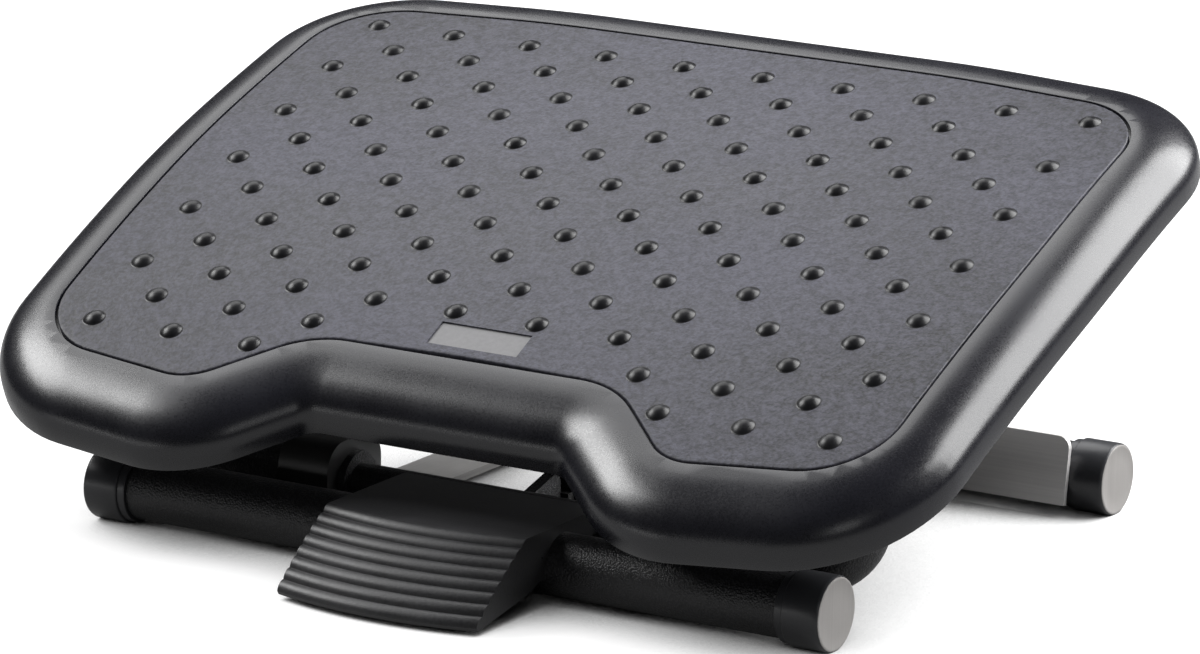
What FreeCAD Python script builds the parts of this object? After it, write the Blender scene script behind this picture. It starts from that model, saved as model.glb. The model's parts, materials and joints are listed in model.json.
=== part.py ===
"""Tilting under desk footrest: steel base on two tubes, lift frame, tilting platform, foot pedal."""
import FreeCAD, Part
import math
import os

import Sketcher

from FreeCAD import Placement, Rotation, Vector

# Driving dimensions, in millimetres and degrees
SIZES = {
    "base_width": 344.5,
    "base_depth": 240.0,
    "tube_diameter": 26.0,
    "tube_wall": 1.5,
    "cap_diameter": 30.6,
    "cap_length_front": 20.0,
    "cap_length_rear": 20.0,
    "cap_end_wall": 4.0,
    "cap_mouth_step": 0.8,
    "cap_mouth_depth": 2.0,
    "cap_edge_round": 0.8,
    "cap_flat_depth": 0.4,
    "disc_diameter": 29.4,
    "disc_thickness": 1.6,
    "disc_proud": 0.3,
    "disc_edge_round": 0.4,
    "seat_gap": 0.05,
    "plate_width": 314.0,
    "plate_height": 28.8,
    "plate_thickness": 2.5,
    "plate_lean": 8.0,
    "plate_bottom": 5.6,
    "plate_corner": 5.0,
    "rail_width": 28.0,
    "rail_spacing": 175.0,
    "rail_thickness": 3.0,
    "rail_height": 3.5,
    "lift_axis_depth": 39.8,
    "lift_axis_height": 21.5,
    "lift_tube_diameter": 25.0,
    "lift_tube_wall": 2.0,
    "lift_arm_spacing": 308.4,
    "lift_bend_radius": 15.2,
    "lift_leg_overhang": 3.0,
    "cross_shaft_diameter": 15.6,
    "cross_plug_length": 14.0,
    "lift_arm_length": 108.68,
    "lift_arm_angle": 51.62,
    "bush_wall": 1.6,
    "bush_running_gap": 0.05,
    "block_width": 24.0,
    "block_depth": 40.0,
    "block_cover": 4.0,
    "block_round": 12.0,
    "bolt_diameter": 5.0,
    "bolt_head_diameter": 9.0,
    "bolt_head_height": 2.0,
    "bolt_length": 9.0,
    "sleeve_diameter": 20.0,
    "sleeve_length": 26.0,
    "hinge_pin_diameter": 12.0,
    "pin_running_gap": 0.05,
    "pin_head_diameter": 17.0,
    "pin_head_height": 2.5,
    "washer_thickness": 1.5,
    "washer_diameter": 22.0,
    "side_gap": 0.3,
    "ear_thickness": 3.0,
    "ear_width": 26.0,
    "bracket_depth": 44.0,
    "ear_flange": 12.0,
    "clip_width": 1.2,
    "clip_rim": 2.5,
    "clip_mouth": 7.2,
    "groove_depth": 1.0,
    "pin_end": 2.0,
    "hinge_depth": 30.0,
    "platform_tilt": 22.5,
    "crown_radius": 1225.0,
    "shell_depth": 21.5,
    "shell_wall": 3.0,
    "deck_thickness": 3.5,
    "rim_round": 20.0,
    "rim_side": 25.3,
    "rim_rear": 27.7,
    "rim_front": 31.3,
    "pad_thickness": 3.0,
    "pad_gap": 0.5,
    "pad_half_width": 197.5,
    "pad_widest": 10.0,
    "pad_half_width_rear": 194.8,
    "pad_half_width_front": 194.0,
    "pad_rear": 139.0,
    "pad_rear_corner": 128.0,
    "pad_front": 139.4,
    "pad_front_corner": 129.0,
    "lobe_inner_x": 110.8,
    "notch_half_width": 70.7,
    "notch_front": 103.0,
    "pad_rear_radius": 38.0,
    "pad_front_radius": 36.0,
    "lobe_radius": 26.0,
    "notch_radius": 42.4,
    "rear_edge_radius": 500.0,
    "side_edge_radius": 1200.0,
    "bump_pitch": 38.1,
    "bump_diameter": 9.5,
    "bump_height": 2.0,
    "label_width": 42.0,
    "label_depth": 13.5,
    "label_front": 90.0,
    "label_recess": 0.6,
    "label_thickness": 1.0,
    "rib_height": 12.0,
    "rib_thickness": 2.4,
    "rib_spacing": 60.0,
    "pedal_width": 92.7,
    "pedal_lug_width": 18.0,
    "pedal_hub_wall": 3.0,
    "pedal_tip_depth": 63.0,
    "pedal_tip_height": 2.7,
    "pedal_offset": 2.3,
    "pedal_top_height": 32.0,
    "pedal_top_front": 25.5,
    "pedal_rear_depth": 29.0,
    "pedal_thickness": 3.0,
    "pedal_bulge": 1.3,
    "pedal_bow": 6.9,
    "pedal_foot_depth": 23.0,
    "pedal_foot_height": 9.5,
    "pedal_hub_end": 12.0,
    "pedal_wall": 3.0,
    "pedal_rib_depth": 1.1,
    "ring_width": 3.0,
    "ring_wall": 1.1,
    "sector_radius": 34.0,
    "sector_thickness": 5.0,
    "sector_start": -20.0,
    "sector_end": 15.0,
    "shoe_gap": 1.9,
    "shoe_angle": -12.0,
    "shoe_thickness": 5.0,
    "shoe_height": 12.0,
    "shoe_side_step": 1.0,
    "lever_pivot_height": 36.0,
    "lever_foot_height": 5.4,
    "lever_thickness": 6.0,
    "lever_width": 12.0,
    "lever_ear_depth": 16.0,
    "lever_brace_gap": 3.0,
    "lever_pin_diameter": 6.0,
    "lever_pin_head": 1.5,
    "lever_eye_wall": 3.0,
    "lever_arm_cover": 2.0,
    "lever_ear_gap": 0.4,
    "rod_diameter": 4.0,
    "rod_offset": 14.0,
    "rod_height": 5.4,
    "rod_side_gap": 0.5,
    "rod_head_step": 1.6,
    "rod_head_length": 2.0,
    "rod_head_gap": 0.4,
    "lug_depth": 18.0,
    "lug_thickness": 3.0,
    "lug_foot_height": 4.2,
    "lug_prong": 2.5,
    "screw_diameter": 4.0,
    "screw_head_diameter": 7.6,
    "screw_head_height": 2.2,
    "screw_length": 6.0,
    "plate_screw_pitch": 50.0,
    "hole_gap": 0.02,
}

# Counts
PEDAL_RIBS = 8
LATTICE_ROWS = 13

doc = FreeCAD.newDocument("footrest")
sheet = doc.addObject("Spreadsheet::Sheet", "sizes")
for row, (alias, value) in enumerate(SIZES.items(), start=1):
    sheet.set("A%d" % row, alias)
    sheet.set("B%d" % row, str(value))
    sheet.setAlias("B%d" % row, alias)
doc.recompute()

ALONG_X = Rotation(Vector(0, 1, 0), 90)
SIDES = {"left": -1, "right": 1}

# Tolerances for finding edges, and the reach of tools that cut right through
TINY = 1e-4
NEAR = 0.01
OVER = 1.0
FAR = 300.0

parts = []


def size(alias):
    """The value of one cell of the sheet."""
    return float(sheet.get(alias))


def keep(obj, label):
    """Mark an object as a finished sub-part."""
    obj.Label = label
    parts.append(obj)
    return obj


def bind(obj, **expressions):
    """Tie properties of an object to the sheet."""
    for prop, text in expressions.items():
        obj.setExpression(prop, text)
    return obj


def cell(text):
    """Turn words that are cells of the sheet into references to it."""
    out = ""
    word = ""
    for ch in text + " ":
        if ch.isalnum() or ch == "_":
            word += ch
            continue
        out += ("sizes." + word) if word in SIZES else word
        out += ch
        word = ""
    return out.strip()


def cylinder(name, radius, height, place):
    obj = doc.addObject("Part::Cylinder", name)
    bind(obj, Radius=cell(radius), Height=cell(height))
    obj.Placement = place
    return obj


def box(name, length, width, height, place):
    obj = doc.addObject("Part::Box", name)
    bind(obj, Length=cell(length), Width=cell(width), Height=cell(height))
    obj.Placement = place
    return obj


def cut(name, base, tool):
    obj = doc.addObject("Part::Cut", name)
    obj.Base = base
    obj.Tool = tool
    return obj


def fuse(name, shapes):
    obj = doc.addObject("Part::MultiFuse", name)
    obj.Shapes = shapes
    return obj


def feature(label, shape, place=None):
    """A sub-part whose shape is worked out here from the sheet's values."""
    obj = doc.addObject("Part::Feature", label)
    obj.Shape = shape
    if place is not None:
        obj.Placement = place
    return keep(obj, label)


def round_edges(label, base, radius, chosen):
    """Round the edges of a base object that a test function picks."""
    doc.recompute()
    obj = doc.addObject("Part::Fillet", label)
    obj.Base = base
    obj.Edges = [(i + 1, radius, radius) for i, edge in enumerate(base.Shape.Edges) if chosen(edge)]
    return obj


def along_x(x, y, z):
    """Placement of a cylinder whose axis runs towards +X from a point."""
    return Placement(Vector(x, y, z), ALONG_X)


def rod_x(x0, x1, y, z, radius):
    """Plain solid cylinder along X."""
    return Part.makeCylinder(radius, abs(x1 - x0), Vector(min(x0, x1), y, z), Vector(1, 0, 0))


def arc_through(a, mid, b):
    return Part.Arc(a, mid, b).toShape()


def line(a, b):
    return Part.LineSegment(a, b).toShape()


# Places worked out from the driving dimensions
TUBE_R = size("tube_diameter") / 2
AXIS_Z = size("cap_diameter") / 2
HALF_BASE = size("base_width") / 2
LIFT_Y = size("lift_axis_depth")
LIFT_Z = size("lift_axis_height")
ARM = math.radians(size("lift_arm_angle"))
HINGE_Y = LIFT_Y + size("lift_arm_length") * math.cos(ARM)
HINGE_Z = LIFT_Z + size("lift_arm_length") * math.sin(ARM)
PLATFORM_TURN = Rotation(Vector(1, 0, 0), size("platform_tilt"))
PLATFORM_TOP = PLATFORM_TURN.multVec(Vector(0, 0, size("hinge_depth")))
PLATFORM = Placement(Vector(0, HINGE_Y, HINGE_Z) + PLATFORM_TOP, PLATFORM_TURN)
ARM_X = size("lift_arm_spacing") / 2
LEG_X = size("rail_spacing") / 2 - size("block_width") / 2 - size("lift_leg_overhang")
LEVER_FRONT = LIFT_Y + size("sector_radius") + size("shoe_gap") + size("shoe_thickness")
LEVER_Y = LEVER_FRONT + size("lever_thickness") / 2
BRACE_Y = LEVER_Y + size("lever_ear_depth") / 2 + size("lever_brace_gap")


def base_tube(label, y):
    """Hollow steel tube that ends inside the caps."""
    length = "base_width - 2 * cap_end_wall"
    start = -(HALF_BASE - size("cap_end_wall"))
    outer = cylinder(label + "_outer", "tube_diameter / 2", length, along_x(start, y, AXIS_Z))
    inner = cylinder(label + "_bore", "tube_diameter / 2 - tube_wall", length, along_x(start, y, AXIS_Z))
    if y == 0:
        return keep(cut(label, outer, inner), label)
    hollow = cut(label + "_hollow", outer, inner)
    return drilled(label, hollow, rear_plate_screws(size("hole_gap")))


def end_cap(label, side, y, length):
    """Moulded sleeve over a tube's end, with a seat for its disc and a small flat to stand on."""
    face = HALF_BASE - size("disc_proud")
    turn = Rotation(Vector(0, 1, 0), 90 * side)

    def start(x):
        return Placement(Vector(side * x, y, AXIS_Z), turn)

    inner_end = HALF_BASE - size(length)
    body = cylinder(label + "_sleeve", "cap_diameter / 2", length + " - disc_proud", start(inner_end))
    rounded = round_edges(label + "_round", body, size("cap_edge_round"),
                          lambda e: e.Curve.TypeId == "Part::GeomCircle")
    bore = cylinder(label + "_bore", "tube_diameter / 2 + seat_gap", length + " - cap_end_wall",
                    start(inner_end))
    mouth = cylinder(label + "_mouth", "tube_diameter / 2 + cap_mouth_step", "cap_mouth_depth",
                     start(inner_end))
    seat_depth = size("disc_thickness") - size("disc_proud")
    seat = cylinder(label + "_seat", "disc_diameter / 2 + seat_gap", "disc_thickness",
                    start(face - seat_depth))
    flat = box(
        label + "_flat", "cap_length_rear + cap_length_front", "cap_diameter", "cap_diameter",
        Placement(Vector(min(side * inner_end, side * HALF_BASE) - OVER, y - AXIS_Z,
                         size("cap_flat_depth") - 2 * AXIS_Z), Rotation()),
    )
    tools = fuse(label + "_cuts", [bore, mouth, seat, flat])
    return keep(cut(label, rounded, tools), label)


def end_disc(label, side, y):
    x0 = HALF_BASE - size("disc_thickness")
    place = Placement(Vector(side * x0, y, AXIS_Z), Rotation(Vector(0, 1, 0), 90 * side))
    disc = cylinder(label + "_blank", "disc_diameter / 2", "disc_thickness", place)

    def outer_rim(edge):
        at_end = abs(abs(edge.CenterOfMass.x) - HALF_BASE) < TINY
        return at_end and edge.Curve.TypeId == "Part::GeomCircle"

    return keep(round_edges(label, disc, size("disc_edge_round"), outer_rim), label)


def plate_point(up):
    """A point of the rear plate's back face, at a distance up the plate from where it touches the caps."""
    lean = math.radians(size("plate_lean"))
    touch_r = size("cap_diameter") / 2 + size("seat_gap")
    touch_y = size("base_depth") - touch_r * math.cos(lean)
    touch_z = AXIS_Z + touch_r * math.sin(lean)
    return Vector(0, touch_y + up * math.sin(lean), touch_z + up * math.cos(lean))


def plate_place(x):
    """Placement whose X-Z plane is the rear plate's back face, at the plate's lower edge."""
    touch = plate_point(0)
    down = (touch.z - size("plate_bottom")) / math.cos(math.radians(size("plate_lean")))
    low = plate_point(-down)
    return Placement(Vector(x, low.y, low.z), Rotation(Vector(1, 0, 0), -size("plate_lean")))


def rear_plate():
    """Flat steel plate that stands in front of the rear tube, leaning back."""
    body = doc.addObject("PartDesign::Body", "rear_plate")
    plane = next(f for f in body.Origin.OriginFeatures if f.Role == "XZ_Plane")
    sketch = body.newObject("Sketcher::SketchObject", "rear_plate_outline")
    sketch.AttachmentSupport = [(plane, "")]
    sketch.MapMode = "FlatFace"
    half = size("plate_width") / 2
    high = size("plate_height")
    corners = [Vector(-half, 0, 0), Vector(half, 0, 0), Vector(half, high, 0), Vector(-half, high, 0)]
    for i in range(4):
        sketch.addGeometry(Part.LineSegment(corners[i], corners[(i + 1) % 4]), False)
    for i in range(4):
        sketch.addConstraint(Sketcher.Constraint("Coincident", i, 2, (i + 1) % 4, 1))
    sketch.addConstraint(Sketcher.Constraint("Horizontal", 0))
    sketch.addConstraint(Sketcher.Constraint("Horizontal", 2))
    sketch.addConstraint(Sketcher.Constraint("Vertical", 1))
    sketch.addConstraint(Sketcher.Constraint("Vertical", 3))
    width = sketch.addConstraint(Sketcher.Constraint("DistanceX", 0, 1, 0, 2, 2 * half))
    height = sketch.addConstraint(Sketcher.Constraint("DistanceY", 1, 1, 1, 2, high))
    sketch.addConstraint(Sketcher.Constraint("DistanceX", -1, 1, 0, 2, half))
    sketch.addConstraint(Sketcher.Constraint("PointOnObject", 0, 1, -1))
    sketch.setExpression("Constraints[%d]" % width, cell("plate_width"))
    sketch.setExpression("Constraints[%d]" % height, cell("plate_height"))
    sketch.setExpression("Constraints[%d]" % (height + 1), cell("plate_width / 2"))
    pad = body.newObject("PartDesign::Pad", "rear_plate_thickness")
    pad.Profile = sketch
    pad.setExpression("Length", cell("plate_thickness"))
    doc.recompute()
    tops = ["Edge%d" % (i + 1) for i, e in enumerate(pad.Shape.Edges)
            if abs(e.CenterOfMass.z - high) < TINY and abs(abs(e.CenterOfMass.x) - half) < TINY]
    corner = body.newObject("PartDesign::Fillet", "rear_plate_corners")
    corner.Base = (pad, tops)
    corner.setExpression("Radius", cell("plate_corner"))
    body.Placement = plate_place(0)
    body.Label = "rear_plate_blank"
    return drilled("rear_plate", body, rear_plate_screws(size("hole_gap")))


def fasteners(places, kind, length, grow=0.0):
    """One screw or bolt at each placement: its head's underside at the place, its shank along local -Z."""
    shank = Part.makeCylinder(size(kind + "_diameter") / 2 + grow, length, Vector(0, 0, -length))
    head = Part.makeCylinder(size(kind + "_head_diameter") / 2, size(kind + "_head_height"))
    one = shank if grow else head.fuse(shank).removeSplitter()
    copies = []
    for place in places:
        copy = one.copy()
        copy.Placement = place
        copies.append(copy)
    return Part.makeCompound(copies)


def drilled(label, base, holes):
    """A sub-part cut by the shanks of its fasteners."""
    tool = doc.addObject("Part::Feature", label + "_holes")
    tool.Shape = holes
    return keep(cut(label, base, tool), label)


def rear_plate_screws(grow=0.0):
    """Screws through the rear plate into the rear tube's wall."""
    lean = math.radians(size("plate_lean"))
    out = Vector(0, -math.cos(lean), math.sin(lean))
    front = plate_point(0) + out * size("plate_thickness")
    stand_off = size("cap_diameter") / 2 + size("seat_gap") - TUBE_R
    pitch = size("plate_screw_pitch")
    places = [Placement(Vector(x * pitch, front.y, front.z), Rotation(Vector(0, 0, 1), out))
              for x in (-1.5, -0.5, 0.5, 1.5)]
    return fasteners(places, "screw", size("plate_thickness") + stand_off + size("tube_wall"), grow)


def rail(label, side):
    """Flat steel rail from the front tube to the rear plate."""
    x0 = side * size("rail_spacing") / 2 - size("rail_width") / 2
    blank = Part.makeBox(size("rail_width"), size("base_depth"), size("rail_thickness"),
                         Vector(x0, 0, size("rail_height")))
    tube = rod_x(x0, x0 + size("rail_width"), 0, AXIS_Z, TUBE_R)
    behind = Part.makeBox(size("rail_width"), size("base_depth"), size("base_depth"))
    plate = plate_place(x0)
    face = plate.multVec(Vector(0, -size("plate_thickness"), -size("plate_height")))
    behind.Placement = Placement(face, plate.Rotation)
    front = Part.makeBox(size("rail_width"), TUBE_R, size("base_depth"), Vector(x0, -TUBE_R, 0))
    return feature(label, blank.cut(tube).cut(front).cut(behind).cut(block_bolts(size("hole_gap"))))


def pivot_block(label, side):
    """Pillow block on a rail that carries the lift tube in a bush."""
    x0 = side * size("rail_spacing") / 2 - size("block_width") / 2
    base_z = size("rail_height") + size("rail_thickness")
    bore_r = size("lift_tube_diameter") / 2 + size("bush_running_gap") + size("bush_wall")
    top_z = LIFT_Z + bore_r + size("block_cover")
    blank = box(label + "_blank", "block_width", "block_depth",
                "lift_axis_height + lift_tube_diameter / 2 + bush_running_gap + bush_wall + block_cover"
                " - rail_height - rail_thickness",
                Placement(Vector(x0, LIFT_Y - size("block_depth") / 2, base_z), Rotation()))

    def top_long(edge):
        return abs(edge.CenterOfMass.z - top_z) < TINY and edge.BoundBox.XLength > edge.BoundBox.YLength

    rounded = round_edges(label + "_round", blank, size("block_round"), top_long)
    bore = cylinder(label + "_bore", "lift_tube_diameter / 2 + bush_running_gap + bush_wall + hole_gap",
                    "block_width", along_x(x0, LIFT_Y, LIFT_Z))
    bored = cut(label + "_bored", rounded, bore)
    return drilled(label, bored, block_bolts(size("hole_gap")))


def lift_bush(label, side):
    x0 = side * size("rail_spacing") / 2 - size("block_width") / 2
    outer = cylinder(label + "_outer", "lift_tube_diameter / 2 + bush_running_gap + bush_wall",
                     "block_width", along_x(x0, LIFT_Y, LIFT_Z))
    bore = cylinder(label + "_bore", "lift_tube_diameter / 2 + bush_running_gap", "block_width",
                    along_x(x0, LIFT_Y, LIFT_Z))
    return keep(cut(label, outer, bore), label)


def block_bolts(grow=0.0):
    """Bolts from under each rail into its pivot block."""
    reach = size("block_depth") / 2 - size("bolt_diameter")
    places = [Placement(Vector(side * size("rail_spacing") / 2, y, size("rail_height")),
                        Rotation(Vector(1, 0, 0), 180))
              for side in SIDES.values() for y in (LIFT_Y - reach, LIFT_Y + reach)]
    return fasteners(places, "bolt", size("bolt_length"), grow)


def brace_plate():
    """Flat steel plate between the rails that carries the brake lever's bracket."""
    half = size("rail_spacing") / 2 - size("rail_width") / 2
    return keep(box("brace_plate", "rail_spacing - rail_width", "lever_ear_depth", "rail_thickness",
                    Placement(Vector(-half, BRACE_Y, size("rail_height")), Rotation())), "brace_plate")


def lever_bracket():
    """Two-eared bracket on the brace plate that reaches forward to the brake lever's pin."""
    inner = size("lever_width") / 2 + size("lever_ear_gap")
    thick = size("rail_thickness")
    y = LEVER_Y
    z = size("lever_pivot_height")
    low = size("rail_height") + thick
    depth = size("lever_ear_depth")
    back = BRACE_Y + depth
    high = z + depth / 2
    shape = None
    for side in SIDES.values():
        x0 = side * inner if side > 0 else side * inner - thick
        ear = Part.makeBox(thick, back - y, depth, Vector(x0, y, high - depth))
        ear = ear.fuse(rod_x(x0, x0 + thick, y, z, depth / 2))
        ear = ear.fuse(Part.makeBox(thick, depth, high - low, Vector(x0, BRACE_Y, low)))
        foot_x = x0 if side > 0 else x0 - depth + thick
        ear = ear.fuse(Part.makeBox(depth, depth, thick, Vector(foot_x, BRACE_Y, low)))
        shape = ear if shape is None else shape.fuse(ear)
    bridge_x = inner + thick
    bridge = Part.makeBox(2 * bridge_x, thick, high - low, Vector(-bridge_x, back - thick, low))
    shape = shape.fuse(bridge)
    hole_r = size("lever_pin_diameter") / 2 + size("hole_gap")
    hole = rod_x(-inner - 2 * thick, inner + 2 * thick, y, z, hole_r)
    return feature("lever_bracket", shape.cut(hole).removeSplitter())


def lever_pin():
    reach = size("lever_width") / 2 + size("lever_ear_gap") + size("rail_thickness")
    y = LEVER_Y
    z = size("lever_pivot_height")
    r = size("lever_pin_diameter") / 2
    head_size = size("lever_pin_head")
    pin = rod_x(-reach - head_size, reach + head_size, y, z, r)
    head = rod_x(reach, reach + head_size, y, z, r + head_size)
    return feature("lever_pin", pin.fuse(head).removeSplitter())


def lift_arm(label, side):
    """Bent steel tube: a short leg that turns in the pivot block, and an arm up to the platform."""
    bend = size("lift_bend_radius")
    up = Vector(0, math.cos(ARM), math.sin(ARM))
    start = Vector(LEG_X, LIFT_Y, LIFT_Z)
    corner = Vector(ARM_X, LIFT_Y, LIFT_Z)
    tip = corner + up * size("lift_arm_length")
    bend_start = corner + Vector(-bend, 0, 0)
    bend_end = corner + up * bend
    mid = bend_start + up * bend + (Vector(1, 0, 0) - up) * (bend / math.sqrt(2))
    path = Part.Wire([line(start, bend_start), arc_through(bend_start, mid, bend_end), line(bend_end, tip)])

    def swept(radius):
        ring = Part.Wire([Part.Circle(start, Vector(1, 0, 0), radius).toShape()])
        return path.makePipeShell([ring], True, False)

    outer_r = size("lift_tube_diameter") / 2
    tube = swept(outer_r).cut(swept(outer_r - size("lift_tube_wall")))
    tube = tube.cut(rod_x(0, ARM_X * 2, HINGE_Y, HINGE_Z, size("sleeve_diameter") / 2))
    tube = max(tube.Solids, key=lambda solid: solid.Volume)
    return feature(label, tube if side > 0 else tube.mirror(Vector(), Vector(1, 0, 0)))


def cross_shaft():
    """Steel shaft between the two arms' legs, with a plug at each end inside their bores."""
    r = size("cross_shaft_diameter") / 2
    plug_r = size("lift_tube_diameter") / 2 - size("lift_tube_wall") - size("hole_gap")
    reach = LEG_X + size("cross_plug_length")
    shaft = rod_x(-LEG_X, LEG_X, LIFT_Y, LIFT_Z, r)
    plugs = [rod_x(side * LEG_X, side * reach, LIFT_Y, LIFT_Z, plug_r) for side in SIDES.values()]
    return feature("cross_shaft", shaft.fuse(plugs).removeSplitter())


def arm_sleeve(label, side):
    """Short steel tube across an arm's upper end that turns on the hinge pin."""
    x0 = side * ARM_X - size("sleeve_length") / 2
    outer = cylinder(label + "_outer", "sleeve_diameter / 2", "sleeve_length",
                     along_x(x0, HINGE_Y, HINGE_Z))
    bore = cylinder(label + "_bore", "hinge_pin_diameter / 2 + pin_running_gap", "sleeve_length",
                    along_x(x0, HINGE_Y, HINGE_Z))
    return keep(cut(label, outer, bore), label)


def wedge(y, z, radius, start, end, x0, width):
    """Sector of a disc about an axis along X, between two angles from +Y towards +Z."""
    a, b = math.radians(start), math.radians(end)
    m = (a + b) / 2
    far = [Vector(x0, y + radius * math.cos(t), z + radius * math.sin(t)) for t in (a, m, b)]
    tip = Vector(x0, y, z)
    outline = Part.Wire([line(tip, far[0]), arc_through(*far), line(far[2], tip)])
    return Part.Face(outline).extrude(Vector(width, 0, 0))


def brake_sector():
    """Steel brake segment welded to the cross shaft."""
    w = size("sector_thickness")
    solid = wedge(LIFT_Y, LIFT_Z, size("sector_radius"), size("sector_start"), size("sector_end"),
                  -w / 2, w)
    shaft = rod_x(-w, w, LIFT_Y, LIFT_Z, size("cross_shaft_diameter") / 2)
    return feature("brake_sector", solid.cut(shaft))


def brake_lever():
    """Lever that hangs from its pin, carries the shoe and hooks over the release rod."""
    w = size("lever_width")
    thick = size("lever_thickness")
    y = LEVER_Y
    z = size("lever_pivot_height")
    foot = size("lever_foot_height")
    pin_r = size("lever_pin_diameter") / 2 + size("pin_running_gap")
    stem = Part.makeBox(w, thick, z - foot + thick / 2, Vector(-w / 2, y - thick / 2, foot - thick / 2))
    eye = rod_x(-w / 2, w / 2, y, z, pin_r + size("lever_eye_wall"))
    cover = size("lever_arm_cover")
    arm_end = size("rod_offset") + size("rod_diameter") + cover / 2
    arm_low = size("rod_height") - size("rod_diameter") / 2 - cover
    arm = Part.makeBox(arm_end + w / 2, thick, size("rod_diameter") + 2 * cover,
                       Vector(-w / 2, y - thick / 2, arm_low))
    lever = stem.fuse(eye).fuse(arm).cut(rod_x(-w, w, y, z, pin_r))
    slot = Part.makeCylinder(size("rod_diameter") / 2 + size("rod_side_gap"), 4 * thick,
                             Vector(size("rod_offset"), y - 2 * thick, size("rod_height")), Vector(0, 1, 0))
    return feature("brake_lever", lever.cut(slot).cut(brake_shoe()).removeSplitter())


def brake_shoe():
    """The brake shoe as a block from its working face back to the lever."""
    half = size("shoe_height") / 2
    w = size("lever_width") - 2 * size("shoe_side_step")
    face_r = size("sector_radius") + size("shoe_gap")
    angle = math.radians(size("shoe_angle"))
    mid_z = LIFT_Z + face_r * math.sin(angle)
    y_front = LIFT_Y + size("sector_radius") * math.cos(angle) - size("shoe_gap")
    block = Part.makeBox(w, LEVER_FRONT - y_front, 2 * half, Vector(-w / 2, y_front, mid_z - half))
    return block.cut(rod_x(-w, w, LIFT_Y, LIFT_Z, face_r))


def release_rod():
    """Steel rod from the pedal's lug to the brake lever, with a head at each end."""
    x = size("rod_offset")
    z = size("rod_height")
    r = size("rod_diameter") / 2
    head = size("rod_head_length")
    y0 = size("lug_depth") - size("lug_thickness") / 2 - size("rod_head_gap")
    y1 = LEVER_Y + size("lever_thickness") / 2 + size("rod_head_gap")
    along_y = Vector(0, 1, 0)
    rod = Part.makeCylinder(r, y1 - y0, Vector(x, y0, z), along_y)
    front = Part.makeCylinder(r + size("rod_head_step"), head, Vector(x, y0 - head, z), along_y)
    rear = Part.makeCylinder(r + size("rod_head_step"), head, Vector(x, y1, z), along_y)
    return feature("release_rod", rod.fuse(front).fuse(rear).removeSplitter())


def bulged(a, b, bulge):
    """Middle point of an arc between two points of a Y-Z profile, raised across the chord."""
    chord = b - a
    across = Vector(0, chord.z, -chord.y).normalize()
    if across.z < 0:
        across = across * -1
    return (a + b) * 0.5 + across * bulge


def extruded(edges, x0, width):
    """Closed Y-Z profile drawn at x = 0, extruded along X."""
    face = Part.Face(Part.Wire(edges))
    face.translate(Vector(x0, 0, 0))
    return face.extrude(Vector(width, 0, 0))


def bowed(edges, half, bow):
    """Closed Y-Z profile carried along a shallow arc across X, always parallel to itself."""
    path = Part.Wire([arc_through(Vector(-half, 0, 0), Vector(0, -bow, 0), Vector(half, 0, 0))])
    profile = Part.Wire(edges)
    profile.translate(Vector(-half, 0, 0))
    sweep = Part.BRepOffsetAPI.MakePipeShell(path)
    sweep.setTrihedronMode(Vector(0, 0, 0), Vector(0, 0, 1))
    sweep.add(profile)
    sweep.build()
    sweep.makeSolid()
    return sweep.shape()


def tread_ribs(crest, mid, tip):
    """Arcs of the ribbed tread along its Y-Z profile, from the crest to the tip."""
    curve = Part.Arc(crest, mid, tip)
    pitch = curve.length() / PEDAL_RIBS
    stops = [curve.value(curve.parameterAtDistance(i * pitch, curve.FirstParameter))
             for i in range(PEDAL_RIBS + 1)]
    stops[0], stops[-1] = crest, tip
    return [arc_through(a, bulged(a, b, size("pedal_rib_depth")), b) for a, b in zip(stops, stops[1:])]


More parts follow.
